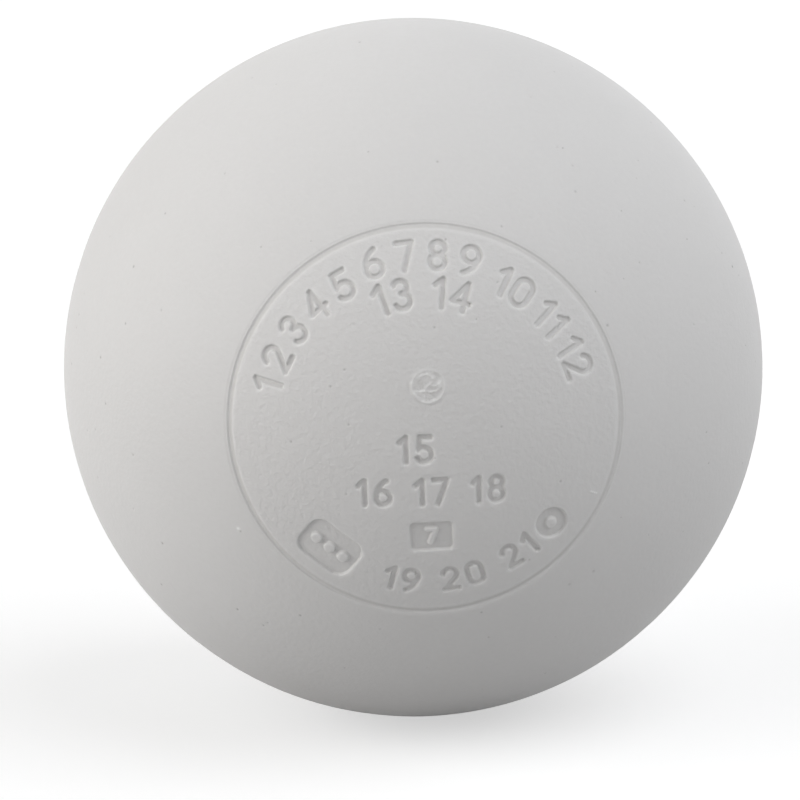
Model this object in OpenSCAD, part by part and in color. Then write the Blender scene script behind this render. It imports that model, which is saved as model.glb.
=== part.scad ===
// A lacrosse ball: a solid rubber core under a cover of white rubber, which is two half shells
// cured together. The front half carries a round panel of moulded marks.
// The origin is the ball's centre. The panel faces -Y, and its marks stand upright along +Z.

/* [Ball] */
// Diameter over the smooth rubber
ball_d = 64; // [62.8:0.1:64.6]
// Wall of the cover over the core
cover_wall = 4; // [2:0.25:8]

/* [Ring round the panel] */
// Diameter of the ring, straight across from the middle of its groove
ring_d = 33.4; // [32.6:0.1:36]
// Width of the groove at the surface
ring_groove_w = 0.9; // [0.5:0.05:1.2]
// Depth of the groove
ring_groove_depth = 0.15; // [0.1:0.05:0.35]

/* [Numbers] */
// Height of a number in the upper rows: the left, top and right row, and the inner one
upper_number_h = 2.95; // [2.5:0.05:3.1]
// Height of a number in the straight rows and the foot row
number_h = 2.65; // [2.2:0.05:2.8]
// Width of the strokes
stroke_w = 0.5; // [0.35:0.05:0.6]
// Depth of the strokes
stroke_depth = 0.25; // [0.1:0.05:0.4]
// Space between the digits of one number
digit_space = 0.45; // [0.2:0.05:0.6]
// Space between two numbers of the left, top or right row
number_space = 0.95; // [0.75:0.05:1.15]
// Space between two numbers of the other rows
wide_number_space = 1.7; // [1.3:0.05:1.9]

/* [Rows] */
// Space from the ring's groove to the side rows and the round plate
outer_row_space = 1.3; // [1.1:0.05:1.5]
// How much nearer to the ring the top row stands than the side rows
top_row_rise = 0.65; // [0:0.05:0.8]
// Space from the top row to the short row inside it
inner_row_space = 0.35; // [0.2:0.05:0.6]
// Space from the ring's groove to the foot row
foot_row_space = 1.6; // [1.3:0.05:1.9]
// How far the first straight row lies below the panel's centre
low_row_drop = 1.7; // [1.4:0.1:2]
// Distance from one straight row to the next
low_row_pitch = 3.8; // [3.4:0.05:4]
// How far the first straight row is set to the left
low_row_shift = 1.05; // [0:0.05:3]
// How far the second one, and the plate under it, are set to the right
second_row_shift = 0.2; // [0:0.05:0.5]

/* [Sunk plates] */
// Depth of the plates
plate_depth = 0.25; // [0.1:0.05:0.4]
// Width of the plate that holds one raised digit
digit_plate_w = 3.7; // [3:0.1:4.5]
// Height of that plate
digit_plate_h = 2.7; // [2.3:0.05:2.8]
// Distance of that plate from the straight row above it
digit_plate_pitch = 4.15; // [4:0.05:4.35]
// Height of the raised digit on it
raised_digit_h = 1.7; // [1.4:0.05:1.8]
// Width of the raised digit's strokes
raised_stroke_w = 0.4; // [0.25:0.05:0.45]
// Length of the plate with dots, along the ring
dot_plate_w = 5.3; // [4.7:0.1:5.6]
// Width of that plate, across the ring
dot_plate_h = 4; // [3.2:0.1:4.2]
// Space from the ring's groove to that plate
dot_plate_space = 1.1; // [0.8:0.1:1.4]
// Diameter of the raised dots
dot_d = 1; // [0.5:0.05:1.1]
// Distance from one dot to the next
dot_pitch = 1.4; // [1.25:0.05:1.5]
// Diameter of the round plate
round_plate_d = 2.9; // [2.3:0.1:3]
// Radius of the digit plate's corners, a third of that of the plate with dots
plate_corner_r = 0.4; // [0.2:0.05:0.5]

/* [Gate mark] */
// Distance of the mould's gate mark above the panel's centre
gate_rise = 3.7; // [3:0.05:4.5]
// Diameter of the fine raised ring at the gate
gate_ring_d = 2.8; // [2:0.1:3.2]
// Width of that ring
gate_ring_w = 0.35; // [0.2:0.05:0.5]
// Height of that ring and of the stub in it
gate_ring_h = 0.08; // [0.03:0.01:0.12]
// Diameter of the torn stub in the ring
gate_stub_d = 1.1; // [0.6:0.1:1.4]

/* [Hidden] */
$fn = 64;

// How far a cutting solid runs past the surface that it cuts
overrun = 1;

ball_r = ball_d / 2;
core_r = ball_r - cover_wall;

// Clock angles run clockwise from the top of the panel. The side rows stand at the same angle to its
// left and right. The foot row is set a little to the right, between the plate with dots and the
// round plate.
side_row_clock = 51;
foot_row_clock = 168;
dot_plate_clock = 219;
round_plate_clock = 130.5;
gate_clock = 3;

// Distances from the panel's centre, over the ball's surface
ring_reach = asin(ring_d / ball_d) * PI / 180 * ball_r;
groove_reach = ring_reach - ring_groove_w / 2;
side_row_reach = groove_reach - outer_row_space - upper_number_h / 2;
top_row_reach = side_row_reach + top_row_rise;
inner_row_reach = top_row_reach - upper_number_h - inner_row_space;
foot_row_reach = groove_reach - foot_row_space - number_h / 2;
round_plate_reach = groove_reach - outer_row_space - round_plate_d / 2;
dot_plate_reach = groove_reach - dot_plate_space - dot_plate_h / 2;
digit_plate_reach = low_row_drop + low_row_pitch + digit_plate_pitch;
digit_plate_clock = 180 - atan(second_row_shift / digit_plate_reach);

// The sizes of a row are the height of its numbers and the space between them
upper_sizes = [upper_number_h, number_space];
inner_sizes = [upper_number_h, wide_number_space];
low_sizes = [number_h, wide_number_space];

left_row = ["1", "2", "3", "4", "5"];
top_row = ["6", "7", "8", "9"];
right_row = ["10", "11", "12"];
inner_row = ["13", "14"];
low_rows = [["15"], ["16", "17", "18"]];
foot_row = ["19", "20", "21"];
raised_digit = "7";

// Strokes of each digit, in shares of the height between the middles of its top and bottom strokes.
// A straight stroke is [from x, from y, to x, to y]. A round one is [centre x, centre y, radius,
// first angle, last angle].
digit_line_shares = [
    [[0, 0.29, 0, 0.71], [0.58, 0.29, 0.58, 0.71]],
    [[0.26, 0, 0.26, 1], [0.26, 1, 0, 0.78]],
    [[0.486, 0.531, 0, 0], [0, 0, 0.56, 0]],
    [],
    [[0.43, 0, 0.43, 1], [0.43, 1, 0, 0.3], [0, 0.3, 0.6, 0.3]],
    [[0.1, 1, 0.52, 1], [0.1, 1, 0.05, 0.496]],
    [],
    [[0, 1, 0.54, 1], [0.54, 1, 0.18, 0]],
    [],
    []
];
digit_arc_shares = [
    [[0.29, 0.71, 0.29, 0, 180], [0.29, 0.29, 0.29, 180, 360]],
    [],
    [[0.28, 0.72, 0.28, -42.5, 165]],
    [[0.27, 0.765, 0.235, -90, 155], [0.27, 0.265, 0.265, -155, 90]],
    [],
    [[0.265, 0.295, 0.295, -150, 137]],
    [[0.285, 0.285, 0.285, 0, 360], [0.8, 0.285, 0.8, 116.6, 180]],
    [],
    [[0.275, 0.765, 0.235, 0, 360], [0.275, 0.265, 0.265, 0, 360]],
    [[0.285, 0.715, 0.285, 0, 360], [-0.23, 0.715, 0.8, -63.4, 0]]
];
digit_width_shares = [0.58, 0.26, 0.56, 0.535, 0.6, 0.56, 0.57, 0.54, 0.54, 0.57];

function digit_of(c) = ord(c) - ord("0");
function sum(v, n) = n <= 0 ? 0 : v[n - 1] + sum(v, n - 1);

// Width of a digit of height h, over strokes of width w
function digit_w(c, h, w) = digit_width_shares[digit_of(c)] * (h - w) + w;
function digit_widths(figures, h) = [for (c = figures) digit_w(c, h, stroke_w)];
function number_w(figures, h) =
    sum(digit_widths(figures, h), len(figures)) + digit_space * (len(figures) - 1);
function row_w(row, sizes) =
    sum([for (t = row) number_w(t, sizes[0])], len(row)) + sizes[1] * (len(row) - 1);

// Place of the middle of each digit along a row whose own middle is at zero
function number_start(row, sizes, i) =
    -row_w(row, sizes) / 2 + sum([for (t = row) number_w(t, sizes[0])], i) + sizes[1] * i;
function digit_middle(figures, h, j) =
    sum(digit_widths(figures, h), j) + digit_space * j + digit_widths(figures, h)[j] / 2;

module straight_stroke(from, to, w) {
    run = to - from;
    for (end = [from, to]) translate(end) circle(d = w);
    translate(from) rotate(atan2(run[1], run[0])) translate([0, -w / 2]) square([norm(run), w]);
}

module round_stroke(centre, r, first, last, w) {
    sweep = last - first;
    reach = 2 * (r + w);
    rim = [for (i = [0:4]) let (a = first + sweep * i / 4) reach * [cos(a), sin(a)]];
    translate(centre) {
        if (sweep < 360) {
            for (a = [first, last]) rotate(a) translate([r, 0]) circle(d = w);
            intersection() {
                ring(r, w);
                polygon(concat([[0, 0]], rim));
            }
        } else ring(r, w);
    }
}

module ring(r, w) {
    difference() {
        circle(r = r + w / 2);
        circle(r = r - w / 2);
    }
}

// A digit's outline, with its middle at the origin
module digit(c, h, w) {
    scale_h = h - w;
    d = digit_of(c);
    translate([-digit_width_shares[d] * scale_h / 2, -scale_h / 2]) {
        for (s = digit_line_shares[d]) straight_stroke(scale_h * [s[0], s[1]], scale_h * [s[2], s[3]], w);
        for (s = digit_arc_shares[d]) round_stroke(scale_h * [s[0], s[1]], scale_h * s[2], s[3], s[4], w);
    }
}

// Puts what is drawn on the XY plane onto the ball's surface, in a frame whose +Z runs out through
// the panel's centre: reach is the distance over the surface, clock the angle, turn its own turn.
module on_ball(reach, clock, turn) {
    rotate([0, 0, -clock]) rotate([-reach / ball_r * 180 / PI, 0, 0])
        translate([0, 0, ball_r]) rotate(turn) children();
}

module sunk_digit(c, h) {
    translate([0, 0, -stroke_depth]) linear_extrude(stroke_depth + overrun) digit(c, h, stroke_w);
}

// A row that follows a circle round the panel's centre, its tops outward or, if flipped, inward
module curved_row(row, sizes, reach, clock, flipped) {
    row_r = ball_r * sin(reach / ball_r * 180 / PI);
    side = flipped ? -1 : 1;
    for (i = [0:len(row) - 1]) for (j = [0:len(row[i]) - 1]) {
        along = number_start(row, sizes, i) + digit_middle(row[i], sizes[0], j);
        on_ball(reach, clock + side * along / row_r * 180 / PI, flipped ? 180 : 0)
            sunk_digit(row[i][j], sizes[0]);
    }
}

// A level row, x to the right of the panel's centre and y above it
module straight_row(row, sizes, x, y) {
    for (i = [0:len(row) - 1]) for (j = [0:len(row[i]) - 1]) {
        at = [x + number_start(row, sizes, i) + digit_middle(row[i], sizes[0], j), y];
        clock = atan2(at[0], at[1]);
        on_ball(norm(at), clock, clock) sunk_digit(row[i][j], sizes[0]);
    }
}

module numbers() {
    curved_row(left_row, upper_sizes, side_row_reach, -side_row_clock, false);
    curved_row(top_row, upper_sizes, top_row_reach, 0, false);
    curved_row(right_row, upper_sizes, side_row_reach, side_row_clock, false);
    curved_row(inner_row, inner_sizes, inner_row_reach, 0, false);
    curved_row(foot_row, low_sizes, foot_row_reach, foot_row_clock, true);
    straight_row(low_rows[0], low_sizes, -low_row_shift, -low_row_drop);
    straight_row(low_rows[1], low_sizes, second_row_shift, -low_row_drop - low_row_pitch);
}

module rounded_plate(w, h, r) {
    for (x = [-1, 1]) for (y = [-1, 1]) translate([x * (w / 2 - r), y * (h / 2 - r)]) circle(r = r);
    translate([-w / 2, r - h / 2]) square([w, h - 2 * r]);
    translate([r - w / 2, -h / 2]) square([w - 2 * r, h]);
}

// A plate is sunk to an even depth under the ball's surface. Its first child is its outline, and
// the others stand up in it to the height of the ball.
module sunk_plate(reach, clock, turn) {
    difference() {
        on_ball(reach, clock, turn) difference() {
            translate([0, 0, -2 * plate_depth]) linear_extrude(2 * plate_depth + overrun) children(0);
            translate([0, 0, -3 * plate_depth]) linear_extrude(3 * plate_depth + 2 * overrun) children(1);
        }
        sphere(r = ball_r - plate_depth);
    }
}

module dots(count) {
    for (i = [0:count - 1]) translate([(i - (count - 1) / 2) * dot_pitch, 0]) circle(d = dot_d);
}

module plates() {
    sunk_plate(digit_plate_reach, digit_plate_clock, 180) {
        rounded_plate(digit_plate_w, digit_plate_h, plate_corner_r);
        digit(raised_digit, raised_digit_h, raised_stroke_w);
    }
    sunk_plate(dot_plate_reach, dot_plate_clock, 180) {
        rounded_plate(dot_plate_w, dot_plate_h, 3 * plate_corner_r);
        dots(3);
    }
    sunk_plate(round_plate_reach, round_plate_clock, 0) {
        circle(d = round_plate_d);
        dots(1);
    }
}

module ring_groove() {
    tilt = ring_reach / ball_r * 180 / PI;
    cutter_r = (pow(ring_groove_w / 2, 2) + pow(ring_groove_depth, 2)) / (2 * ring_groove_depth);
    out = ball_r - ring_groove_depth + cutter_r;
    rotate_extrude() translate(out * [sin(tilt), cos(tilt)]) circle(r = cutter_r);
}

module gate_mark() {
    ring_r = gate_ring_d / 2;
    bead_r = (pow(gate_ring_w / 2, 2) + pow(gate_ring_h, 2)) / (2 * gate_ring_h);
    surface_drop = ball_r - sqrt(pow(ball_r, 2) - pow(ring_r, 2));
    on_ball(gate_rise, gate_clock, 0) {
        rotate_extrude() translate([ring_r, gate_ring_h - bead_r - surface_drop]) circle(r = bead_r);
        translate([0, 0, gate_ring_h - overrun]) cylinder(d = gate_stub_d, h = overrun);
    }
}

// Half of the cover, on the side of the plane y = 0 that side gives: -1 for the front
module half_cover(side) {
    difference() {
        rotate([90, 0, 0]) sphere(r = ball_r);
        rotate([90, 0, 0]) sphere(r = core_r);
        translate([-ball_d, side > 0 ? -2 * ball_d : 0, -ball_d]) cube(2 * ball_d);
    }
}

module core() {
    color("dimgray") rotate([90, 0, 0]) sphere(r = core_r);
}

module front_cover() {
    color("gainsboro") difference() {
        union() {
            half_cover(-1);
            rotate([90, 0, 0]) gate_mark();
        }
        rotate([90, 0, 0]) {
            ring_groove();
            numbers();
            plates();
        }
    }
}

module back_cover() {
    color("gainsboro") half_cover(1);
}

core();
front_cover();
back_cover();
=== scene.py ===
import math

import bpy
import numpy as np
from mathutils import Matrix, Vector
from mathutils.geometry import delaunay_2d_cdt


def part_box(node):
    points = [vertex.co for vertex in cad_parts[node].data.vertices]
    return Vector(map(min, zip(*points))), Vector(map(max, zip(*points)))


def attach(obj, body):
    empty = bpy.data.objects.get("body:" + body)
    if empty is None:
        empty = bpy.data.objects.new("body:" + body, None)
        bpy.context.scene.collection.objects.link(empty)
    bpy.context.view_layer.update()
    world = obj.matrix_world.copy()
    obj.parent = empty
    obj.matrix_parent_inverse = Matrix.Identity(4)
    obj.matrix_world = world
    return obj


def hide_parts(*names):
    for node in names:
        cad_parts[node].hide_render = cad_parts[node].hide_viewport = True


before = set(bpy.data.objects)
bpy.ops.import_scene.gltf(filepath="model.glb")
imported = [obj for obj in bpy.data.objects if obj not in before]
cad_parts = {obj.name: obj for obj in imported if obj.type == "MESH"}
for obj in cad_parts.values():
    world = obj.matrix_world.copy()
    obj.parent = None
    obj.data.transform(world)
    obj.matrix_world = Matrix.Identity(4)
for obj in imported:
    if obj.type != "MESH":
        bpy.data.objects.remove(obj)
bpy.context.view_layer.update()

mm = 0.001  # everything below is in millimetres until a mesh or an object is made
ballR = (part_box("back_cover")[1].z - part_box("back_cover")[0].z) / 2 / mm
coreR = (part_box("core")[1].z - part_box("core")[0].z) / 2 / mm
print(f"frame loaded, ball radius {ballR:.2f} mm")


# The photograph's view

view = {
    "azimuth": -1.9,  # degrees, 0 looks straight at the marked panel
    "elevation": 9.59,
    "roll": 1.52,  # the ball lies turned by this much in the photograph
    "distance": 384,
    "lens": 188,
    "aimRight": -1.2,  # the camera points a little left of the ball's centre, and under it
    "aimUp": -3.0,
    "photoSize": 800,
    "clipStart": 0.01,  # metres
    "clipEnd": 50,
}


def towards(azimuth, elevation):
    # the direction from the ball's centre to something that stands at these angles
    az, el = math.radians(azimuth), math.radians(elevation)
    return Vector((math.sin(az) * math.cos(el), -math.cos(az) * math.cos(el), math.sin(el)))


def cameraAxes():
    az, roll = math.radians(view["azimuth"]), math.radians(view["roll"])
    back = towards(view["azimuth"], view["elevation"])
    level = Vector((math.cos(az), math.sin(az), 0))
    right = level * math.cos(roll) - back.cross(level) * math.sin(roll)
    return right, back.cross(right), back


def addCamera():
    right, up, back = cameraAxes()
    place = back * view["distance"]
    target = right * view["aimRight"] + up * view["aimUp"]
    look = (place - target).normalized()
    side = up.cross(look).normalized()
    camera = bpy.data.cameras.new("photoCamera")
    camera.lens = view["lens"]
    camera.clip_start = view["clipStart"]
    camera.clip_end = view["clipEnd"]
    holder = bpy.data.objects.new("photoCamera", camera)
    turn = Matrix((side, look.cross(side), look)).transposed().to_4x4()
    holder.matrix_world = Matrix.Translation(place * mm) @ turn
    bpy.context.scene.collection.objects.link(holder)
    bpy.context.scene.camera = holder
    return holder


camera = addCamera()


# Places on the ball. Reach is the distance from the panel's centre over the surface, clock the
# angle from the top of the panel, turn the mark's own turn. An out is a direction from the centre.

farOff = 9.0  # stands for the distance to a wall when none is near


def markAxes(reach, clock, turn=0):
    a, c, t = reach / ballR, math.radians(clock), math.radians(turn)
    out = np.array([math.sin(a) * math.sin(c), -math.cos(a), math.sin(a) * math.cos(c)])
    up = np.array([math.cos(a) * math.sin(c), math.sin(a), math.cos(a) * math.cos(c)])
    right = np.cross(up, out)
    across = right * math.cos(t) + up * math.sin(t)
    return np.array([across, up * math.cos(t) - right * math.sin(t), out])


def pixelOut(x, y):
    # the place on the ball that shows at a pixel of the photograph
    turn = camera.matrix_world.to_3x3()
    half = view["photoSize"] / 2
    scale = camera.data.sensor_width / camera.data.lens / view["photoSize"]
    ray = (turn @ Vector(((x + 0.5 - half) * scale, (half - y - 0.5) * scale, -1))).normalized()
    eye = camera.matrix_world.translation / mm
    b = eye.dot(ray)
    hit = np.array(eye + ray * (-b - math.sqrt(b * b - eye.length_squared + ballR ** 2)))
    return hit / np.linalg.norm(hit)


def outAxes(out):
    up = np.array([0, 0, 1]) - out * out[2]
    up /= np.linalg.norm(up)
    return np.array([np.cross(up, out), up, out])


# A flat map of the front half, which the back half uses mirrored: x to the right, y up, and each
# place as far from the middle as it is over the surface

rimReach = ballR * math.pi / 2


def reachOf(outs):
    return np.arccos(np.clip(-outs[:, 1], -1, 1)) * ballR


def acrossOf(outs):
    # how far each lies from the panel's axis, and never quite zero
    least = 1e-9
    return np.maximum(np.hypot(outs[:, 0], outs[:, 2]), least)


def toMap(outs):
    return outs[:, [0, 2]] * (reachOf(outs) / acrossOf(outs))[:, None]


def fromMap(flat):
    angle = np.hypot(flat[:, 0], flat[:, 1]) / ballR
    share = np.sinc(angle / math.pi) / ballR
    return np.stack([flat[:, 0] * share, -np.cos(angle), flat[:, 1] * share], 1)


def step(t):
    # rises smoothly from 0 to 1 while t does
    t = np.clip(t, 0, 1)
    return t * t * t * (t * (6 * t - 15) + 10)


def fall(d, width):
    # falls smoothly from 1 to 0, and is halfway where d is zero
    return 1 - step(d / width + 0.5)


# Numbers, sunk by a row of stamps in the mould

numbers = {
    "upperHeight": 2.95,  # in the left, top, right and inner row
    "height": 2.65,  # in the others
    "stroke": 0.5,
    "circleR": 1.8,  # of a circle that holds any digit
    "digitSpace": 0.45,
    "numberSpace": 0.95,  # in the left, top and right row
    "wideNumberSpace": 1.7,  # in the others
    "upperDepth": 0.25,  # in the left and inner row
    "topDepth": 0.22,
    "rightDepth": 0.22,
    "depth": 0.285,  # in the others
    "sideRowSpace": 1.3,  # from the ring's groove
    "topRowRise": 0.65,  # the top row lies nearer to the groove by this
    "innerRowSpace": 0.35,  # from the top row
    "footRowSpace": 1.6,  # from the ring's groove
    "sideRowClock": 51,
    "footRowClock": 168,
    "lowRowDrop": 1.7,
    "lowRowPitch": 3.8,
    "lowRowShift": 1.05,
    "secondRowShift": 0.2,
    "leftRow": ["1", "2", "3", "4", "5"],
    "topRow": ["6", "7", "8", "9"],
    "rightRow": ["10", "11", "12"],
    "innerRow": ["13", "14"],
    "lowRows": [["15"], ["16", "17", "18"]],
    "footRow": ["19", "20", "21"],
}

plates = {
    "depth": 0.31,
    "cornerR": 0.4,
    "digit": "7",
    "digitHeight": 1.7,
    "digitStroke": 0.42,
    "digitPlate": (3.7, 2.7),
    "digitPlateCircleR": 2.4,
    "digitPlatePitch": 4.15,
    "dotPlate": (5.3, 4.0),
    "dotPlateCornerR": 1.2,
    "dotPlateCircleR": 3.4,
    "dotPlateSpace": 1.1,
    "dotPlateClock": 219,
    "dots": 3,
    "dotD": 1.0,
    "dotPitch": 1.4,
    "roundPlateD": 2.9,
    "roundPlateCircleR": 1.5,
    "roundPlateClock": 130.5,
}

# How numbers and plates are sunk: a steep wall, outside it a soft lip, in it painted shade, and along
# its edge a painted highlight
sinking = {
    "wall": 0.18,  # how wide
    "wallShift": 0.02,  # its middle lies this far inside the mark's edge
    "lip": 0.3,
    "lipShare": 0.1,  # of the depth
    "reach": 1,  # how far from a mark its wall's distance is worked out
    # painted shade inside the marks, darkest at the foot of their walls
    "grimeAndPaintedShade": 0.55,
    "paintedShadeFrom": 0.12,  # inward from the wall the painted shade gets less
    "paintedShadeTo": 0.42,
    "paintedShadeLess": 0.8,
    # a painted highlight: a pale line just outside each mark's wall
    "pale": 0.22,
    "paleAt": 0.12,
    "paleWidth": 0.1,
}

# The ring's groove slopes down from within, has a steeper wall on its outer side, and outside it a
# trace of a step. Painted shade darkens its groove, and a painted highlight runs along its edges.
ring = {
    "d": 33.4,
    "aside": 0.05,  # how far its middle lies to the right of the panel's, and over it
    "rise": 0.05,
    "depth": 0.125,
    "innerFrom": -0.45,  # from the groove's middle line
    "innerSide": 0.62,
    "outerFrom": 0.185,
    "outerWall": 0.25,
    "step": 0.028,
    "stepAt": 0.55,
    "stepWidth": 0.15,
    # painted shade along the groove's floor, standing in for its shadow
    "grimeAndPaintedShade": 2.15,
    "paintedShadeWidth": 0.32,
    "pale": [(-0.42, 0.08, 0.08), (0.4, 0.16, 0.13)],  # where, how wide, how pale: painted highlights along the groove's edges
    "panelBlend": 1,  # over this width the panel's grain passes into the ball's
}

# Strokes in shares of the height between the middles of the top and bottom strokes. A straight one
# is (from x, from y, to x, to y), a round one (centre x, centre y, radius, first angle, last angle).
digitShares = {
    "0": [(0, 0.29, 0, 0.71), (0.58, 0.29, 0.58, 0.71), (0.29, 0.71, 0.29, 0, 180),
          (0.29, 0.29, 0.29, 180, 360)],
    "1": [(0.26, 0, 0.26, 1), (0.26, 1, 0, 0.78)],
    "2": [(0.486, 0.531, 0, 0), (0, 0, 0.56, 0), (0.28, 0.72, 0.28, -42.5, 165)],
    "3": [(0.27, 0.765, 0.235, -90, 155), (0.27, 0.265, 0.265, -155, 90)],
    "4": [(0.43, 0, 0.43, 1), (0.43, 1, 0, 0.3), (0, 0.3, 0.6, 0.3)],
    "5": [(0.1, 1, 0.52, 1), (0.1, 1, 0.05, 0.496), (0.265, 0.295, 0.295, -150, 137)],
    "6": [(0.285, 0.285, 0.285, 0, 360), (0.8, 0.285, 0.8, 116.6, 180)],
    "7": [(0, 1, 0.54, 1), (0.54, 1, 0.18, 0)],
    "8": [(0.275, 0.765, 0.235, 0, 360), (0.275, 0.265, 0.265, 0, 360)],
    "9": [(0.285, 0.715, 0.285, 0, 360), (-0.23, 0.715, 0.8, -63.4, 0)],
}
digitWidthShares = {
    "0": 0.58, "1": 0.26, "2": 0.56, "3": 0.535, "4": 0.6,
    "5": 0.56, "6": 0.57, "7": 0.54, "8": 0.54, "9": 0.57,
}


def lineDistance(x, y, ax, ay, bx, by):
    dx, dy = bx - ax, by - ay
    t = np.clip(((x - ax) * dx + (y - ay) * dy) / (dx * dx + dy * dy), 0, 1)
    return np.hypot(x - ax - t * dx, y - ay - t * dy)


def arcDistance(x, y, cx, cy, r, first, last):
    onArc = np.abs(np.hypot(x - cx, y - cy) - r)
    if last - first >= 360:
        return onArc
    angle = (np.degrees(np.arctan2(y - cy, x - cx)) - first) % 360
    toEnds = []
    for a in (math.radians(first), math.radians(last)):
        toEnds.append(np.hypot(x - cx - r * math.cos(a), y - cy - r * math.sin(a)))
    return np.where(angle <= last - first, onArc, np.minimum(*toEnds))


# A mark's shape gives the distance to its wall at points of its own flat frame, under zero inside it

def digitShape(digit, height, stroke):
    scale = height - stroke

    def shape(x, y):
        x, y = x / scale + digitWidthShares[digit] / 2, y / scale + 0.5
        lines = []
        for shares in digitShares[digit]:
            distance = lineDistance if len(shares) == 4 else arcDistance
            lines.append(distance(x, y, *shares))
        return np.min(lines, axis=0) * scale - stroke / 2
    return shape


def plateShape(width, height, r):
    def shape(x, y):
        qx, qy = np.abs(x) - width / 2 + r, np.abs(y) - height / 2 + r
        return np.hypot(np.maximum(qx, 0), np.maximum(qy, 0)) + np.minimum(np.maximum(qx, qy), 0) - r
    return shape


def dotShape(count, d, pitch=0.0):
    def shape(x, y):
        dots = [np.hypot(x - (i - (count - 1) / 2) * pitch, y) for i in range(count)]
        return np.min(dots, axis=0) - d / 2
    return shape


def standingIn(plate, raised):
    return lambda x, y: np.maximum(plate(x, y), -raised(x, y))


def rowPlaces(row, height, space):
    # the shape of each digit and the place of its middle along a row, whose own middle is at zero
    stroke = numbers["stroke"]
    widths = [[digitWidthShares[c] * (height - stroke) + stroke for c in number] for number in row]
    spans = [sum(w) + numbers["digitSpace"] * (len(w) - 1) for w in widths]
    x = -(sum(spans) + space * (len(row) - 1)) / 2
    places = []
    for number, width in zip(row, widths):
        for c, w in zip(number, width):
            places.append((digitShape(c, height, stroke), x + w / 2))
            x += w + numbers["digitSpace"]
        x += space - numbers["digitSpace"]
    return places


def curvedRow(places, depth, reach, clock, side=1):
    # side -1 turns the digits' feet outward
    rowR = ballR * math.sin(reach / ballR)
    marks = []
    for shape, x in places:
        axes = markAxes(reach, clock + side * math.degrees(x / rowR), 90 - 90 * side)
        marks.append((axes, numbers["circleR"], depth, shape))
    return marks


def levelRow(places, right, up):
    marks = []
    for shape, x in places:
        clock = math.degrees(math.atan2(right + x, up))
        axes = markAxes(math.hypot(right + x, up), clock, clock)
        marks.append((axes, numbers["circleR"], numbers["depth"], shape))
    return marks


def numberMarks():
    # each mark's axes, the radius of the circle that holds it, its depth and its shape
    upper, height = numbers["upperHeight"], numbers["height"]
    space, wide = numbers["numberSpace"], numbers["wideNumberSpace"]
    side = grooveReach - numbers["sideRowSpace"] - upper / 2
    top = side + numbers["topRowRise"]
    inner = top - upper - numbers["innerRowSpace"]
    foot = grooveReach - numbers["footRowSpace"] - height / 2
    deep, clock = numbers["upperDepth"], numbers["sideRowClock"]
    marks = curvedRow(rowPlaces(numbers["leftRow"], upper, space), deep, side, -clock)
    marks += curvedRow(rowPlaces(numbers["topRow"], upper, space), numbers["topDepth"], top, 0)
    marks += curvedRow(rowPlaces(numbers["rightRow"], upper, space), numbers["rightDepth"], side, clock)
    marks += curvedRow(rowPlaces(numbers["innerRow"], upper, wide), deep, inner, 0)
    foots = rowPlaces(numbers["footRow"], height, wide)
    marks += curvedRow(foots, numbers["depth"], foot, numbers["footRowClock"], -1)
    first, second = (rowPlaces(row, height, wide) for row in numbers["lowRows"])
    marks += levelRow(first, -numbers["lowRowShift"], -numbers["lowRowDrop"])
    marks += levelRow(second, numbers["secondRowShift"], -secondRowDrop)
    return marks


def digitPlateMark():
    raised = digitShape(plates["digit"], plates["digitHeight"], plates["digitStroke"])
    plate = plateShape(*plates["digitPlate"], plates["cornerR"])
    reach = secondRowDrop + plates["digitPlatePitch"]
    clock = 180 - math.degrees(math.atan(numbers["secondRowShift"] / reach))
    axes = markAxes(reach, clock, 180)
    return axes, plates["digitPlateCircleR"], plates["depth"], standingIn(plate, raised)


def dotPlateMark():
    raised = dotShape(plates["dots"], plates["dotD"], plates["dotPitch"])
    plate = plateShape(*plates["dotPlate"], plates["dotPlateCornerR"])
    reach = grooveReach - plates["dotPlateSpace"] - plates["dotPlate"][1] / 2
    axes = markAxes(reach, plates["dotPlateClock"], 180)
    return axes, plates["dotPlateCircleR"], plates["depth"], standingIn(plate, raised)


def roundPlateMark():
    raised = dotShape(1, plates["dotD"])
    plate = dotShape(1, plates["roundPlateD"])
    reach = grooveReach - numbers["sideRowSpace"] - plates["roundPlateD"] / 2
    axes = markAxes(reach, plates["roundPlateClock"])
    return axes, plates["roundPlateCircleR"], plates["depth"], standingIn(plate, raised)


ringReach = ballR * math.asin(ring["d"] / 2 / ballR)
grooveReach = ringReach + ring["innerFrom"]  # where the groove starts
secondRowDrop = numbers["lowRowDrop"] + numbers["lowRowPitch"]
marks = numberMarks() + [digitPlateMark(), dotPlateMark(), roundPlateMark()]


def markEdge(outs):
    # distance to the nearest wall of the sunk marks, under zero inside them, and that mark's depth
    edge, depth = np.full(len(outs), farOff), np.zeros(len(outs))
    for axes, circleR, markDepth, shape in marks:
        near = np.nonzero(outs @ axes[2] > math.cos((circleR + sinking["reach"]) / ballR))[0]
        if len(near):
            local = outs[near] @ axes[:2].T * ballR
            found = shape(local[:, 0], local[:, 1])
            nearer = found < edge[near]
            edge[near[nearer]] = found[nearer]
            depth[near[nearer]] = markDepth
    return edge, depth


def sunkShare(edge):
    # 0 on the ball, 1 at the bottom of a mark
    wall = fall(edge + sinking["wallShift"], sinking["wall"])
    lip = 1 - step((edge + sinking["wallShift"]) / sinking["lip"])
    return wall + (lip - wall) * sinking["lipShare"]


def paintedShadeShare(edge):
    # painted shade along the foot of the walls, less in the middle of a plate
    inMiddle = step((-edge - sinking["paintedShadeFrom"]) / (sinking["paintedShadeTo"] - sinking["paintedShadeFrom"]))
    inside = fall(edge + sinking["wallShift"], sinking["wall"])
    return sinking["grimeAndPaintedShade"] * inside * (1 - sinking["paintedShadeLess"] * inMiddle)


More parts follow.
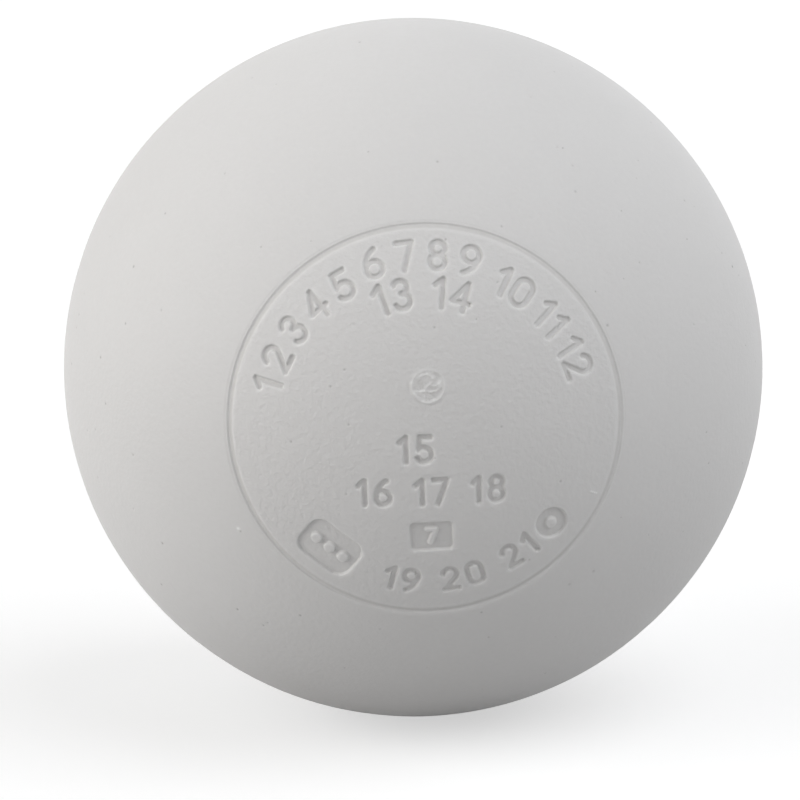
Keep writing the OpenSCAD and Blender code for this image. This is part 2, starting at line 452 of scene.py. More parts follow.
def ringHeight(fromRing):
    inner = step((fromRing - ring["innerFrom"]) / ring["innerSide"])
    groove = 1 - step((fromRing - ring["outerFrom"]) / ring["outerWall"])
    outside = fall(fromRing - ring["stepAt"], ring["stepWidth"])
    return -inner * (ring["depth"] * groove + ring["step"] * outside)


def ringPaintedHighlight(fromRing):
    # painted highlight: pale lines beside the groove
    return -sum(pale * np.exp(-((fromRing - at) / width) ** 2) for at, width, pale in ring["pale"])


def ringPaintedShade(fromRing):
    # painted shade, deepest on the groove's middle line
    return ring["grimeAndPaintedShade"] * (1 - step(np.abs(fromRing) / ring["paintedShadeWidth"]))


# Gate mark: a fine raised ring, and in it the torn rubber where the sprue came off

gate = {
    "rise": 3.7,
    "clock": 3,
    "ringD": 2.78,
    "ringW": 0.13,
    "ringHeight": 0.065,
    "ringFade": 0.45,  # how much lower the ring is at its top
    # ridges of torn rubber: their height, their width, and the points they run through
    "ridges": [
        (0.055, 0.15, [(-0.91, 0.6), (-0.52, 0.93), (-0.06, 1.02), (0.21, 0.84), (0.42, 0.62)]),
        (0.045, 0.19, [(0.88, 0.24), (1.04, 0.36)]),
        (0.04, 0.08, [(0.25, 0.3), (0, 0.1), (-0.2, -0.1), (-0.29, -0.4)]),
        (0.045, 0.08, [(-0.29, -0.45), (-0.27, -0.8), (-0.31, -1.1)]),
        (0.04, 0.1, [(-0.9, -0.46), (-0.35, -0.47)]),
        (0.045, 0.09, [(-0.1, -0.45), (0.2, -0.46), (0.7, -0.38), (0.95, -0.12)]),
        (0.04, 0.1, [(-1.2, -0.5), (-0.95, -0.62), (-0.72, -0.7)]),
        (0.04, 0.09, [(-1.02, -0.8), (-0.64, -1.05)]),
        (0.04, 0.1, [(0.38, -1.15), (0.6, -1.08)]),
        (0.035, 0.08, [(0.1, 0.12), (0.35, 0.02), (0.62, 0.04)]),
    ],
    "roughness": 0.02,  # of the torn rubber between them
    # its waves across and up: how dense, how much they bend, and how dense the bends are
    "roughWaves": ((9, 5, 4), (11, 4, 5)),
    "pale": 0.15,  # how pale the ring and the ridges are, a painted highlight on the raised rubber
    # x, y, radius and depth of dark spots: grime in its hollows, and painted shade beside its ridges
    "grimeAndPaintedShade": [
        (-0.72, 0.36, 0.32, 1.6), (-1.22, -0.17, 0.17, 2), (0.3, -0.14, 0.24, 1.2),
        (0.35, -0.64, 0.2, 1.2), (1.05, -0.22, 0.19, 1.8), (0.66, 1.08, 0.28, 1.6),
        (0.27, 0.32, 0.12, 0.6), (-0.55, -0.14, 0.2, 0.9), (-0.8, -1.0, 0.2, 0.5),
        (0.7, -0.62, 0.2, 0.8),
    ],
    # and of paler rubber where it tore
    "tornPale": [
        (0.95, 0.28, 0.24, 0.6), (-1.2, -0.56, 0.15, 0.7), (0.5, -1.15, 0.14, 0.5),
        (-0.42, -1.22, 0.13, 0.6), (-1.4, 0.32, 0.12, 0.7), (0.3, 0.74, 0.16, 0.4),
        (-0.6, -0.44, 0.17, 0.5), (-0.28, -0.8, 0.1, 0.5), (-0.1, 1, 0.16, 0.3),
    ],
}
gateAxes = markAxes(gate["rise"], gate["clock"])


def gateHeight(x, y):
    edge = np.hypot(x, y) - gate["ringD"] / 2
    fade = 1 - gate["ringFade"] * np.clip(y / gate["ringD"] * 2, 0, 1)
    height = gate["ringHeight"] * fade * np.exp(-(edge / gate["ringW"]) ** 2)
    for high, width, points in gate["ridges"]:
        d = np.min([lineDistance(x, y, *a, *b) for a, b in zip(points[:-1], points[1:])], axis=0)
        height = height + high * np.exp(-(d / width) ** 2)
    (a, b, c), (d, e, f) = gate["roughWaves"]
    rough = np.sin(a * x + b * np.sin(c * y)) * np.sin(d * y + e * np.sin(f * x))
    inRing = 1 - step(edge / gate["ringW"] + 1)
    return height + gate["roughness"] * rough * inRing


def spots(x, y, places):
    # soft round spots, added up
    total = np.zeros(len(x))
    for atX, atY, r, much in places:
        total += much * np.exp(-((x - atX) ** 2 + (y - atY) ** 2) / r ** 2)
    return total


def addGate(outs, height, grimeAndPaintedShade, tone):
    near = np.nonzero(outs @ gateAxes[2] > math.cos(gate["ringD"] / ballR))[0]
    x, y = (outs[near] @ gateAxes[:2].T * ballR).T
    atGate = gateHeight(x, y)
    height[near] += atGate
    # painted highlight, stronger where the rubber stands higher
    tone[near] -= gate["pale"] * np.clip(atGate / gate["ringHeight"], 0, 1)
    # dark spots: grime, and painted shade beside the ridges
    grimeAndPaintedShade[near] += spots(x, y, gate["grimeAndPaintedShade"])
    tone[near] -= spots(x, y, gate["tornPale"])


# Pinholes, specks and nicks

blemishes = {
    "seed": 11,
    "scattered": 230,
    "scatteredR": (0.06, 0.12),
    "scatteredTone": (0.05, 0.4),  # how dark, or how pale where it is one of the pale ones
    "paleShare": 0.12,
    "depth": 0.05,
    "rise": 0.6,  # a pale one stands up by this share of the depth
    "reach": 4,  # how many radii round its middle the surface changes
    "toneSqueeze": 1.1,  # its tone ends a little nearer to its middle than its dent
    "toneSharpness": 3,
    "seamSpace": 2.2,  # none lies nearer to the seam
    "ringSpace": 0.62,  # nor to the ring
    # the plainest ones in the photograph: x and y of the pixel, radius, and how dark
    "dark": [
        (224, 173, 0.10, 0.2), (572, 165, 0.12, 0.15), (575, 191, 0.12, 0.2), (684, 200, 0.12, 0.3),
        (133, 266, 0.14, 0.45), (125, 323, 0.13, 0.35), (100, 357, 0.13, 0.45), (501, 226, 0.10, 0.2),
        (434, 327, 0.11, 0.25), (607, 325, 0.14, 0.3), (732, 266, 0.13, 0.7), (639, 262, 0.10, 0.2),
        (706, 432, 0.11, 0.35), (708, 463, 0.10, 0.3), (560, 481, 0.12, 0.3), (593, 571, 0.16, 0.2),
        (569, 584, 0.16, 0.18), (481, 612, 0.11, 0.4), (330, 386, 0.11, 0.25), (300, 615, 0.11, 0.4),
        (277, 545, 0.14, 0.4), (240, 531, 0.10, 0.3), (162, 543, 0.12, 0.45), (161, 584, 0.12, 0.5),
        (237, 609, 0.12, 0.5), (263, 625, 0.10, 0.35), (445, 239, 0.13, 0.45),
    ],
    # and how pale, the first five of them one nick
    "pale": [
        (590.5, 490.8, 0.1, 0.8), (592.2, 491.3, 0.1, 0.9), (594.0, 491.9, 0.1, 1.0),
        (595.8, 492.4, 0.1, 1.0), (597.5, 493.0, 0.1, 0.7),
        (238, 528, 0.19, 1.0), (509, 401, 0.12, 0.5),
    ],
}


def ballBlemishes():
    # the direction, radius and tone of each, and the tone is under zero where it is pale
    rng = np.random.default_rng(blemishes["seed"])
    found = [(pixelOut(x, y), r, tone) for x, y, r, tone in blemishes["dark"]]
    found += [(pixelOut(x, y), r, -tone) for x, y, r, tone in blemishes["pale"]]
    for i in range(blemishes["scattered"]):
        out = rng.normal(size=3)
        sign = -1 if rng.random() < blemishes["paleShare"] else 1
        r, tone = rng.uniform(*blemishes["scatteredR"]), rng.uniform(*blemishes["scatteredTone"])
        found.append((out / np.linalg.norm(out), r, sign * tone))
    kept = []
    for out, r, tone in found:
        fromRing = abs(math.acos(-out[1]) * ballR - ringReach)
        if abs(out[1]) * ballR > blemishes["seamSpace"] and fromRing > blemishes["ringSpace"]:
            kept.append((out, r, tone))
    return kept


specks = ballBlemishes()
print(f"{len(marks)} sunk marks, {len(specks)} specks")


def addSpecks(outs, height, tone):
    for place, r, shade in specks:
        near = np.nonzero(outs @ place > math.cos(blemishes["reach"] * r / ballR))[0]
        d = np.sqrt(np.maximum(2 - 2 * outs[near] @ place, 0)) * ballR / r
        rise = -1 if shade > 0 else blemishes["rise"]
        height[near] += rise * blemishes["depth"] * np.exp(-d * d)
        fromMiddle = d * blemishes["toneSqueeze"]
        tone[near] += shade * np.exp(-fromMiddle ** blemishes["toneSharpness"])


# Where the two halves of the cover meet: a fine line, and the band where the flash was buffed off
seam = {
    "depth": 0.08,
    "width": 0.14,
    "uneven": 0.35,
    # its depth changes round the ball in waves: how many, their start, how often they fade, share
    "waves": ((5, 1, 13, 1), (31, 2, 7, 0.6)),
    "grimeAndPaintedShade": 0.9,
    "buffed": 1.0,  # half the band's width
    "buffSharpness": 6,
    "buffDepth": 0.03,
}


def addSeam(outs, height, grimeAndPaintedShade):
    d = np.abs(outs[:, 1]) * ballR
    around = np.arctan2(outs[:, 0], outs[:, 2])
    wander = sum(share * np.sin(rate * around + start) * np.sin(fade * around)
                 for rate, start, fade, share in seam["waves"])
    line = np.exp(-(d / seam["width"]) ** 2) * (1 + seam["uneven"] * wander)
    band = np.exp(-(d / seam["buffed"]) ** seam["buffSharpness"])
    height -= seam["depth"] * line + seam["buffDepth"] * band
    grimeAndPaintedShade += seam["grimeAndPaintedShade"] * line


# The ball is a little uneven all over
unevenness = {"seed": 5, "waves": 14, "longest": 22, "shortest": 5, "height": 0.006}


def unevenHeight(outs):
    rng = np.random.default_rng(unevenness["seed"])
    height = np.zeros(len(outs))
    for i in range(unevenness["waves"]):
        direction = rng.normal(size=3)
        direction /= np.linalg.norm(direction)
        length = rng.uniform(unevenness["shortest"], unevenness["longest"])
        height += np.sin(outs @ direction * ballR * 2 * math.pi / length + rng.uniform(0, 2 * math.pi))
    return height * unevenness["height"] / math.sqrt(unevenness["waves"])


def surface(outs):
    # at each out: the height over the ball, the grime and painted shade, and the tone, which is under
    # zero where pale, painted highlights included
    edge, depth = markEdge(outs)
    # painted highlight along the marks' edges
    tone = -sinking["pale"] * np.exp(-((edge - sinking["paleAt"]) / sinking["paleWidth"]) ** 2)
    shift = (ring["aside"] * outs[:, 0] + ring["rise"] * outs[:, 2]) / acrossOf(outs)
    fromRing = reachOf(outs) - ringReach - shift
    # painted highlight along the ring's edges
    tone += ringPaintedHighlight(fromRing)
    height = -depth * sunkShare(edge) + ringHeight(fromRing)
    # painted shade in the sunk marks and in the ring's groove
    grimeAndPaintedShade = np.maximum(paintedShadeShare(edge) * depth / numbers["upperDepth"], ringPaintedShade(fromRing))
    addGate(outs, height, grimeAndPaintedShade, tone)
    addSpecks(outs, height, tone)
    addSeam(outs, height, grimeAndPaintedShade)
    return height + unevenHeight(outs), grimeAndPaintedShade, tone


# The mesh is made on the map, from rows of points along every wall, and an even net between them

net = {
    # distances from a mark's wall
    "wallLines": (-0.16, -0.105, -0.06, -0.015, 0.03, 0.075, 0.13, 0.21, 0.31),
    "wallCell": 0.1,
    "ringMargin": 0.3,  # the square in which walls are looked for ends this far inside the ring
    "pullPasses": 2,  # how often a wall's points are moved onto their line
    "joinShare": 0.4,  # linked points nearer than this share of a cell are made one
    "joinPasses": 3,
    # distances from the ring's middle line
    "ringLines": (
        -0.62, -0.5, -0.42, -0.34, -0.26, -0.18, -0.08, 0.02, 0.12, 0.19, 0.24,
        0.28, 0.315, 0.35, 0.39, 0.44, 0.49, 0.54, 0.59, 0.65, 0.76,
    ),
    "ringPoints": 360,
    "seamLines": (0, 0.07, 0.15, 0.25, 0.4, 0.7, 1.0, 1.3),
    "seamPoints": 640,
    "gateSize": 0.08,
    "gateR": 1.75,
    # how many of its radii from a speck's middle, and how many points
    "speckRings": ((0.5, 6), (1.0, 9), (1.6, 10), (2.4, 10), (3.5, 10)),
    "sizes": (0.17, 0.26, 0.4, 0.6, 0.9, 1.3, 1.8),
    "panelSize": 0.6,  # the largest inside the ring
    # the net's size beside each of these, the last being the specks, and how fast it grows with the
    # distance
    "beside": {"seam": 0.35, "mark": 0.17, "ring": 0.28, "gate": 0.12, "specksAndPaintedHighlights": 0.25},
    "growth": 0.42,
    "speckReach": 4,  # no speck changes the net's size from farther away
    "seamRoom": 0.4,  # a point keeps away from the seam's lines by this share of the net's size
    "room": 0.45,  # and from the others' by this share
    "domeCell": 1.4,  # of the cover's inner side
    "domeGap": 0.02,  # between that and the core
}


def ontoLevel(field, points, level, farthest):
    # how far each point is from where the field has this value, along the field's slope
    d = 0.005
    leastSlope = 0.3
    miss = field(points) - level
    across = field(points + (d, 0)) - field(points - (d, 0))
    upward = field(points + (0, d)) - field(points - (0, d))
    slope = np.stack([across, upward], 1) / (2 * d)
    much = miss / np.maximum((slope ** 2).sum(axis=1), leastSlope)
    return np.clip(much, -farthest, farthest)[:, None] * slope


def joinNear(points, links, near):
    # makes one of two linked points that are near to each other
    into = np.arange(len(points))
    gaps = np.linalg.norm(points[links[:, 0]] - points[links[:, 1]], axis=1)
    for a, b in links[gaps < near]:
        if into[a] == a and into[b] == b:
            into[b] = a
    kept, into = np.unique(into, return_inverse=True)
    links = into[links]
    return points[kept], links[links[:, 0] != links[:, 1]]


def levelLine(field, value, axis, level):
    # points along the line where the field has this value, and the links between them
    cell = axis[1] - axis[0]
    value = value - level
    below = value < 0
    # the line crosses a cell's side where the value goes through zero from one corner to the next
    across, upward = below[:, 1:] != below[:, :-1], below[1:] != below[:-1]
    r, c = np.nonzero(across)
    t = value[r, c] / (value[r, c] - value[r, c + 1])
    points = [np.stack([axis[c] + t * cell, axis[r]], 1)]
    acrossId = np.full(across.shape, -1)
    acrossId[r, c] = np.arange(len(r))
    count = len(r)
    r, c = np.nonzero(upward)
    t = value[r, c] / (value[r, c] - value[r + 1, c])
    points.append(np.stack([axis[c], axis[r] + t * cell], 1))
    upwardId = np.full(upward.shape, -1)
    upwardId[r, c] = count + np.arange(len(r))
    points = np.concatenate(points)

    # in each cell, two crossings are linked, and four in two pairs
    sides = np.stack([acrossId[:-1], upwardId[:, 1:], acrossId[1:], upwardId[:, :-1]], -1)
    sides = sides.reshape(-1, 4)
    crossings = (sides >= 0).sum(axis=1)
    double = sides[crossings == 4]
    single = np.sort(sides[crossings == 2], axis=1)[:, 2:]
    links = np.concatenate([single, double[:, :2], double[:, 2:]])

    farthest = cell / 3
    for i in range(net["pullPasses"]):
        points -= ontoLevel(field, points, level, farthest)
    for i in range(net["joinPasses"]):
        points, links = joinNear(points, links, net["joinShare"] * cell)
    return points, links


def circle(reach, count):
    angle = np.arange(count) * 2 * math.pi / count
    return np.stack([np.sin(angle), np.cos(angle)], 1) * reach


def evenNet(size, half):
    # corners of triangles whose sides are all this size
    triangleHeight = size * math.sqrt(0.75)
    rows, columns = np.arange(-half, half, triangleHeight), np.arange(-half, half, size)
    x, y = np.meshgrid(columns, rows)
    x = x + (np.arange(len(rows)) % 2)[:, None] * size / 2
    return np.stack([x.ravel(), y.ravel()], 1)


def wallDistance(flat):
    return markEdge(fromMap(flat))[0]


def wallRows():
    half = ringReach - net["ringMargin"]
    axis = np.arange(-half, half, net["wallCell"])
    x, y = np.meshgrid(axis, axis)
    value = wallDistance(np.stack([x.ravel(), y.ravel()], 1)).reshape(x.shape)
    return [levelLine(wallDistance, value, axis, level) for level in net["wallLines"]]


def ringRows():
    order = np.arange(net["ringPoints"])
    links = np.stack([order, np.roll(order, -1)], 1)
    middle = ring["aside"], ring["rise"]
    reaches = [ringReach + outward for outward in net["ringLines"]]
    return [(circle(reach, net["ringPoints"]) + middle, links) for reach in reaches]


def ontoMap(local, axes):
    # from a mark's flat frame, in shares of the ball's radius
    high = np.sqrt(1 - (local ** 2).sum(axis=1))
    return toMap(local @ axes[:2] + high[:, None] * axes[2])


def gatePoints():
    local = evenNet(net["gateSize"], net["gateR"])
    return ontoMap(local[np.hypot(*local.T) < net["gateR"]] / ballR, gateAxes)


def speckPoints(out, r):
    rings = [circle(share * r, count) for share, count in net["speckRings"]]
    return ontoMap(np.concatenate([[[0, 0]]] + rings) / ballR, outAxes(out))


def evenPoints(side, nearSpecks, size, coarser):
    # the points of one net, where its size is the right one
    flat = evenNet(size, rimReach)
    reach = np.hypot(*flat.T)
    fromSeam = rimReach - reach - net["seamLines"][-1]
    keep = fromSeam > net["seamRoom"] * size
    flat, reach, fromSeam = flat[keep], reach[keep], fromSeam[keep]
    outs = fromMap(flat)
    beside, growth = net["beside"], net["growth"]
    wanted = np.minimum(net["sizes"][-1], beside["seam"] + growth * fromSeam)
    room = np.full(len(flat), farOff)
    if side < 0:
        edge = markEdge(outs)[0]
        fromMarks = np.where(edge < 0, net["wallLines"][0] - edge, edge - net["wallLines"][-1])
        fromRing = reach - ringReach
        fromRing = np.maximum(fromRing - net["ringLines"][-1], net["ringLines"][0] - fromRing)
        fromGate = np.arccos(np.clip(outs @ gateAxes[2], -1, 1)) * ballR - net["gateR"]
        wanted = np.where(reach < ringReach, np.minimum(wanted, net["panelSize"]), wanted)
        for name, away in {"mark": fromMarks, "ring": fromRing, "gate": fromGate}.items():
            wanted = np.minimum(wanted, beside[name] + growth * away)
            room = np.minimum(room, away)
    for out, r in nearSpecks:
        near = np.nonzero(outs @ out > math.cos(net["speckReach"] / ballR))[0]
        away = np.arccos(np.clip(outs[near] @ out, -1, 1)) * ballR - net["speckRings"][-1][0] * r
        wanted[near] = np.minimum(wanted[near], beside["specksAndPaintedHighlights"] + growth * away)
        room[near] = np.minimum(room[near], away)
    rightSize = (wanted < coarser) & ((wanted >= size) | (size == net["sizes"][0]))
    return flat[rightSize & (room > net["room"] * size)]


def netPoints(side):
    # all points of the map of one half, side -1 for the marked half and 1 for the back, and the
    # links that the triangles' sides have to follow
    groups = [(circle(rimReach - inward, net["seamPoints"]), None) for inward in net["seamLines"]]
    if side < 0:
        groups += wallRows() + ringRows() + [(gatePoints(), None)]
    nearSpecks = [(out * (1, -side, 1), r) for out, r, tone in specks if out[1] * side > 0]
    groups += [(speckPoints(out, r), None) for out, r in nearSpecks]
    for size, coarser in zip(net["sizes"], net["sizes"][1:] + (math.inf,)):
        groups.append((evenPoints(side, nearSpecks, size, coarser), None))
    links, count = [np.zeros((0, 2), int)], 0
    for points, theirLinks in groups:
        if theirLinks is not None:
            links.append(theirLinks + count)
        count += len(points)
    return np.concatenate([points for points, _ in groups]), np.concatenate(links)


def halfNet(side):
    points, links = netPoints(side)
    nearest = 1e-3  # nearer points are taken as one
    flat = 1e-5  # outs nearer to the plane between the halves are put on it
    found = delaunay_2d_cdt([Vector(p) for p in points], links.tolist(), [], 0, nearest)
    corners, tris = np.array([corner[:] for corner in found[0]]), np.array(found[2])
    outs = fromMap(corners)
    outs[np.abs(outs[:, 1]) < flat, 1] = 0
    outs *= (1, -side, 1)
    outs /= np.linalg.norm(outs, axis=1)[:, None]
    return outs, tris if side < 0 else tris[:, ::-1]


def bandFaces(outer, inner):
    # triangles between two rows of points, of which the inner one may have half as many
    after = np.roll(inner, -1)
    if len(outer) == len(inner):
        outerAfter = np.roll(outer, -1)
        return [np.stack([outer, inner, outerAfter], 1), np.stack([inner, after, outerAfter], 1)]
    first, middle, last = outer[::2], outer[1::2], np.roll(outer[::2], -1)
    return [np.stack([first, inner, middle], 1), np.stack([inner, after, middle], 1),
            np.stack([middle, after, last], 1)]


def closeShell(outs, outer, tris, side):
    # adds the flat parting face and the cover's inner side, a dome
    onRim = np.nonzero(outs[:, 1] == 0)[0]
    onRim = onRim[np.argsort(np.arctan2(outs[onRim, 2], outs[onRim, 0]))]
    domeR = coreR + net["domeGap"]
    around = outs[onRim]
    dome, rows, count = [], [onRim], len(outs)
    for lean in np.arange(0, math.pi / 2, net["domeCell"] / domeR):
        # where points would stand closer than half a cell, every other one is left out
        if 2 * math.pi * domeR * math.cos(lean) / len(around) < net["domeCell"] / 2:
            around = around[::2]
        dome.append(around * math.cos(lean) + (0, side * math.sin(lean), 0))
        rows.append(count + np.arange(len(around)))
        count += len(around)
    dome = np.concatenate(dome + [[[0, side, 0]]]) * domeR
    closing = [band for pair in zip(rows[:-1], rows[1:]) for band in bandFaces(*pair)]
    closing.append(np.stack([rows[-1], np.full(len(around), count), np.roll(rows[-1], -1)], 1))
    closing = np.concatenate(closing)
    if side > 0:
        closing = closing[:, ::-1]
    return np.concatenate([outer, dome]), np.concatenate([tris, closing]), onRim


def makeHalf(name, side):
    outs, tris = halfNet(side)
    height, grimeAndPaintedShade, tone = surface(outs)
    corners, faces, onRim = closeShell(outs, outs * (ballR + height)[:, None], tris, side)
    mesh = bpy.data.meshes.new(name)
    mesh.from_pydata((corners * mm).tolist(), [], faces.tolist())
    mesh.shade_smooth()
    rim = np.zeros(len(corners), bool)
    rim[onRim] = True
    ends = np.zeros(len(mesh.edges) * 2, int)
    mesh.edges.foreach_get("vertices", ends)
    mesh.edges.foreach_set("use_edge_sharp", rim[ends.reshape(-1, 2)].all(axis=1))
    inPanel = fall(reachOf(outs) - ringReach, ring["panelBlend"])
    # the tone holds the specks and the painted highlights along edges and raised rubber
    for key, values in {"specksAndPaintedHighlights": tone, "grimeAndPaintedShade": grimeAndPaintedShade, "panel": inPanel}.items():
        layer = mesh.attributes.new(key, "FLOAT", "POINT")
        full = np.zeros(len(corners), np.float32)
        full[:len(outs)] = values
        layer.data.foreach_set("value", full)
    piece = bpy.data.objects.new(name, mesh)
    bpy.context.scene.collection.objects.link(piece)
    print(f"{name}: {len(faces)} triangles")
    return piece


frontHalf = makeHalf("front_half_shell", -1)
backHalf = makeHalf("back_half_shell", 1)
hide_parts("front_cover")
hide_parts("back_cover")
for piece in (frontHalf, backHalf):
    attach(piece, "root")


# Materials

# The grain is the same in all rubber: fine, and with it a mottling and broad patches
rubberGrain = {
    "usualSize": 0.5,  # where a material doesn't set it
    "fineDetail": 3,
    "mottlingScale": 420,
    "mottlingDetail": 4,
    "patchScale": 60,
    "patchDetail": 2,
    "shadeFrom": 0.7,  # patches and fine grain added up, where the rubber has its own colour
    "shadeTo": 1.3,  # and where it has its worn colour
    "glossChange": 0.06,  # of the roughness, either way
    "bumpDistance": 0.0001,  # metres
}

coverRubber = {
    "colour": (0.722, 0.712, 0.705),
    "worn": (0.706, 0.696, 0.689),
    "speckColour": (0.16, 0.15, 0.14),
    # the pale specks, the nick and the painted highlights take this colour
    "paleAndPaintedHighlightColour": (0.9, 0.9, 0.89),
    "roughness": 0.62,
    "grainSize": 0.45,
    "grainHeight": 0.42,
    "panelGrain": 2,  # how much rougher the panel's rubber is
    # grime, and the painted shade in the marks, the ring's groove and the gate: its colour and how much
    "grimeAndPaintedShadeColour": (0.5, 0.49, 0.47),
    "grimeAndPaintedShade": 0.2,
}

coreRubber = {
    "colour": (0.05, 0.048, 0.045),
    "worn": (0.09, 0.085, 0.08),
    "roughness": 0.8,
    "grainSize": 0.9,
    "grainHeight": 0.5,
}


def link(tree, *pairs):
    for a, b in pairs:
        tree.links.new(a, b)


def addNode(tree, kind, **values):
    node = tree.nodes.new(kind)
    for key, value in values.items():
        setattr(node, key, value)
    return node


def mouldedGrainGroup():
    # grain and mottling of moulded rubber: a fine orange peel, and broad patches
    group = bpy.data.node_groups.new("mouldedGrain", "ShaderNodeTree")
    interface = group.interface
    size = interface.new_socket("Grain size", in_out="INPUT", socket_type="NodeSocketFloat")
    size.default_value = rubberGrain["usualSize"]
    for name in ("Height", "Mottling", "Patches"):
        interface.new_socket(name, in_out="OUTPUT", socket_type="NodeSocketFloat")
    start = addNode(group, "NodeGroupInput")
    end = addNode(group, "NodeGroupOutput")
    place = addNode(group, "ShaderNodeTexCoord")
    rate = addNode(group, "ShaderNodeMath", operation="DIVIDE")
    rate.inputs[0].default_value = 1 / mm
    fine = addNode(group, "ShaderNodeTexNoise")
    fine.inputs["Detail"].default_value = rubberGrain["fineDetail"]
    mottling = addNode(group, "ShaderNodeTexNoise")
    mottling.inputs["Scale"].default_value = rubberGrain["mottlingScale"]
    mottling.inputs["Detail"].default_value = rubberGrain["mottlingDetail"]
    patches = addNode(group, "ShaderNodeTexNoise")
    patches.inputs["Scale"].default_value = rubberGrain["patchScale"]
    patches.inputs["Detail"].default_value = rubberGrain["patchDetail"]
    link(group, (start.outputs[0], rate.inputs[1]), (rate.outputs[0], fine.inputs["Scale"]))
    for noise, name in ((fine, "Height"), (mottling, "Mottling"), (patches, "Patches")):
        link(group, (place.outputs["Object"], noise.inputs["Vector"]))
        link(group, (noise.outputs["Fac"], end.inputs[name]))
    return group


grainGroup = mouldedGrainGroup()


def rubberMaterial(name, look):
    material = bpy.data.materials.new(name)
    material.use_nodes = True
    tree = material.node_tree
    shader = tree.nodes["Principled BSDF"]
    grain = addNode(tree, "ShaderNodeGroup", node_tree=grainGroup)
    grain.inputs["Grain size"].default_value = look["grainSize"]
    both = addNode(tree, "ShaderNodeMath", operation="ADD")
    shade = addNode(tree, "ShaderNodeMapRange")
    shade.inputs["From Min"].default_value = rubberGrain["shadeFrom"]
    shade.inputs["From Max"].default_value = rubberGrain["shadeTo"]
    mix = addNode(tree, "ShaderNodeMix", data_type="RGBA")
    mix.inputs["A"].default_value = (*look["colour"], 1)
    mix.inputs["B"].default_value = (*look["worn"], 1)
    gloss = addNode(tree, "ShaderNodeMapRange")
    gloss.inputs["To Min"].default_value = look["roughness"] - rubberGrain["glossChange"]
    gloss.inputs["To Max"].default_value = look["roughness"] + rubberGrain["glossChange"]
    bump = addNode(tree, "ShaderNodeBump")
    bump.inputs["Strength"].default_value = look["grainHeight"]
    bump.inputs["Distance"].default_value = rubberGrain["bumpDistance"]
    link(tree,
         (grain.outputs["Patches"], both.inputs[0]), (grain.outputs["Height"], both.inputs[1]),
         (both.outputs[0], shade.inputs["Value"]), (shade.outputs["Result"], mix.inputs["Factor"]),
         (mix.outputs["Result"], shader.inputs["Base Color"]),
         (grain.outputs["Mottling"], gloss.inputs["Value"]),
         (gloss.outputs["Result"], shader.inputs["Roughness"]),
         (grain.outputs["Height"], bump.inputs["Height"]),
         (bump.outputs["Normal"], shader.inputs["Normal"]))
    return material, tree, shader, mix, grain, bump


def coverMaterial():
    material, tree, shader, mix, grain, bump = rubberMaterial("coverRubber", coverRubber)
    panel = addNode(tree, "ShaderNodeAttribute", attribute_name="panel")
    share = addNode(tree, "ShaderNodeMapRange")
    share.inputs["To Min"].default_value = 1
    share.inputs["To Max"].default_value = coverRubber["panelGrain"]
    height = addNode(tree, "ShaderNodeMath", operation="MULTIPLY")
    # the mesh's grime and painted shade darken the colour
    grimeAndPaintedShade = addNode(tree, "ShaderNodeAttribute", attribute_name="grimeAndPaintedShade")
    much = addNode(tree, "ShaderNodeMath", operation="MULTIPLY")
    much.inputs[1].default_value = coverRubber["grimeAndPaintedShade"]
    withGrimeAndPaintedShade = addNode(tree, "ShaderNodeMix", data_type="RGBA")
    withGrimeAndPaintedShade.inputs["B"].default_value = (*coverRubber["grimeAndPaintedShadeColour"], 1)
    link(tree,
         (panel.outputs["Fac"], share.inputs["Value"]), (share.outputs["Result"], height.inputs[0]),
         (grain.outputs["Height"], height.inputs[1]), (height.outputs[0], bump.inputs["Height"]),
         (grimeAndPaintedShade.outputs["Fac"], much.inputs[0]), (much.outputs[0], withGrimeAndPaintedShade.inputs["Factor"]),
         (mix.outputs["Result"], withGrimeAndPaintedShade.inputs["A"]))
    # the tone is dark over zero and pale under it, and the pale part holds the pale specks and the
    # painted highlights
    specksAndPaintedHighlights = addNode(tree, "ShaderNodeAttribute", attribute_name="specksAndPaintedHighlights")
    dark = addNode(tree, "ShaderNodeMath", operation="MULTIPLY", use_clamp=True)
    dark.inputs[1].default_value = 1
    pale = addNode(tree, "ShaderNodeMath", operation="MULTIPLY", use_clamp=True)
    pale.inputs[1].default_value = -1
    withDark = addNode(tree, "ShaderNodeMix", data_type="RGBA")
    withDark.inputs["B"].default_value = (*coverRubber["speckColour"], 1)
    withPale = addNode(tree, "ShaderNodeMix", data_type="RGBA")
    withPale.inputs["B"].default_value = (*coverRubber["paleAndPaintedHighlightColour"], 1)
    link(tree,
         (specksAndPaintedHighlights.outputs["Fac"], dark.inputs[0]), (specksAndPaintedHighlights.outputs["Fac"], pale.inputs[0]),
         (dark.outputs[0], withDark.inputs["Factor"]),
         (withGrimeAndPaintedShade.outputs["Result"], withDark.inputs["A"]),
         (pale.outputs[0], withPale.inputs["Factor"]),
         (withDark.outputs["Result"], withPale.inputs["A"]),
         (withPale.outputs["Result"], shader.inputs["Base Color"]))
    return material


coverFinish = coverMaterial()
coreFinish = rubberMaterial("coreRubber", coreRubber)[0]
for piece in (frontHalf, backHalf):
    piece.data.materials.append(coverFinish)
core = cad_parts["core"]
core.data.materials.clear()
core.data.materials.append(coreFinish)
print("materials made")


# Floor and light

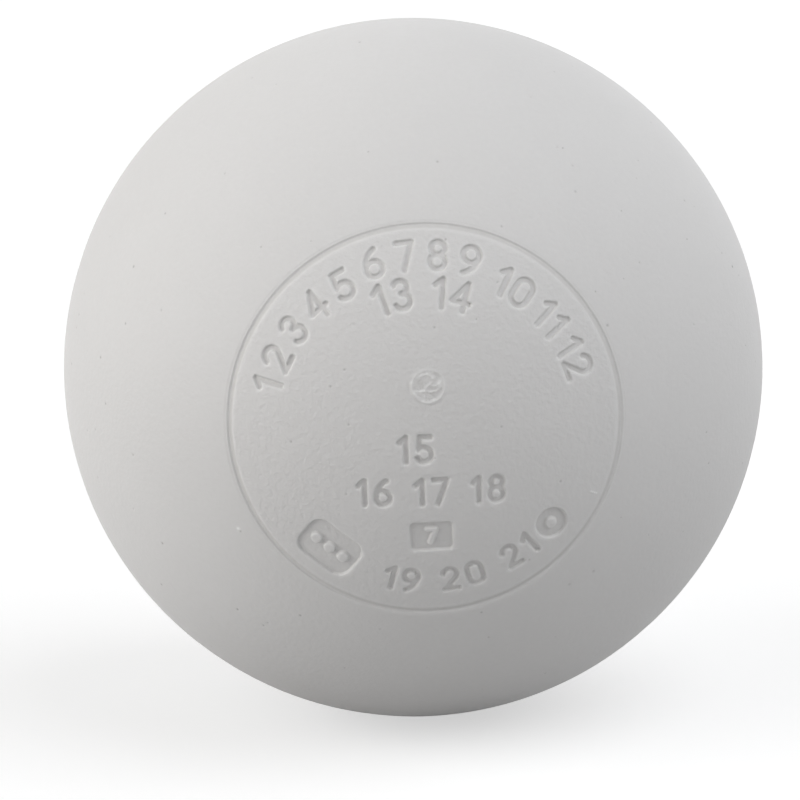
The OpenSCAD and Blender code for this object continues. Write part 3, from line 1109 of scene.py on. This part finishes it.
stageValues = {
    "floorSize": 8,  # metres
    "floorColour": (0.525, 0.525, 0.525),
    "floorRoughness": 0.9,
    "floorLift": 0.57,  # brings the lit floor up to white in the picture and in reflections
    "sky": 0.14,  # how strongly it lights the ball
    # name: azimuth it shines from, elevation, strength, angular size, colour
    "lamps": {
        "leftLamp": (-90, 8, 1.84, 60, (1.0, 0.998, 0.983)),
        "keyLamp": (-60, 28, 0.86, 60, (1.0, 0.98, 0.955)),
        "rightLamp": (60, 50, 1.3, 60, (0.965, 0.98, 1.0)),
        "backLamp": (120, 40, 0.9, 120, (0.965, 0.98, 1.0)),
    },
}


def whereSeen(tree, unseen, seen):
    # one value for what the camera and reflections see, another for the light the surface gives
    rays = addNode(tree, "ShaderNodeLightPath")
    first = addNode(tree, "ShaderNodeMath", operation="MAXIMUM")
    both = addNode(tree, "ShaderNodeMath", operation="MAXIMUM")
    value = addNode(tree, "ShaderNodeMapRange")
    value.inputs["To Min"].default_value = unseen
    value.inputs["To Max"].default_value = seen
    link(tree,
         (rays.outputs["Is Camera Ray"], first.inputs[0]),
         (rays.outputs["Is Glossy Ray"], first.inputs[1]), (first.outputs[0], both.inputs[0]),
         (rays.outputs["Is Transmission Ray"], both.inputs[1]),
         (both.outputs[0], value.inputs["Value"]))
    return value.outputs["Result"]


def addFloor():
    half = stageValues["floorSize"] / 2
    mesh = bpy.data.meshes.new("floor")
    z = -ballR * mm
    corners = [(-half, -half, z), (half, -half, z), (half, half, z), (-half, half, z)]
    mesh.from_pydata(corners, [], [(0, 1, 2, 3)])
    floor = bpy.data.objects.new("floor", mesh)
    bpy.context.scene.collection.objects.link(floor)
    material = bpy.data.materials.new("whiteFloor")
    material.use_nodes = True
    tree = material.node_tree
    shader = tree.nodes["Principled BSDF"]
    shader.inputs["Base Color"].default_value = (*stageValues["floorColour"], 1)
    shader.inputs["Roughness"].default_value = stageValues["floorRoughness"]
    shader.inputs["Specular IOR Level"].default_value = 0
    shader.inputs["Emission Color"].default_value = (1, 1, 1, 1)
    link(tree, (whereSeen(tree, 0, stageValues["floorLift"]), shader.inputs["Emission Strength"]))
    mesh.materials.append(material)


def addWorld():
    world = bpy.data.worlds.new("studio")
    world.use_nodes = True
    bpy.context.scene.world = world
    tree = world.node_tree
    background = tree.nodes["Background"]
    background.inputs["Color"].default_value = (1, 1, 1, 1)
    link(tree, (whereSeen(tree, stageValues["sky"], 1), background.inputs["Strength"]))


def addLamp(name, azimuth, elevation, strength, spread, colour):
    lamp = bpy.data.lights.new(name, "SUN")
    lamp.energy = strength
    lamp.angle = math.radians(spread)
    lamp.color = colour
    holder = bpy.data.objects.new(name, lamp)
    back = towards(azimuth, elevation)
    holder.rotation_euler = back.to_track_quat("Z", "Y").to_euler()
    holder.location = back
    bpy.context.scene.collection.objects.link(holder)


addFloor()
addWorld()
for name, lamp in stageValues["lamps"].items():
    addLamp(name, *lamp)
bpy.context.scene.view_settings.view_transform = "Standard"
print("stage and light ready")
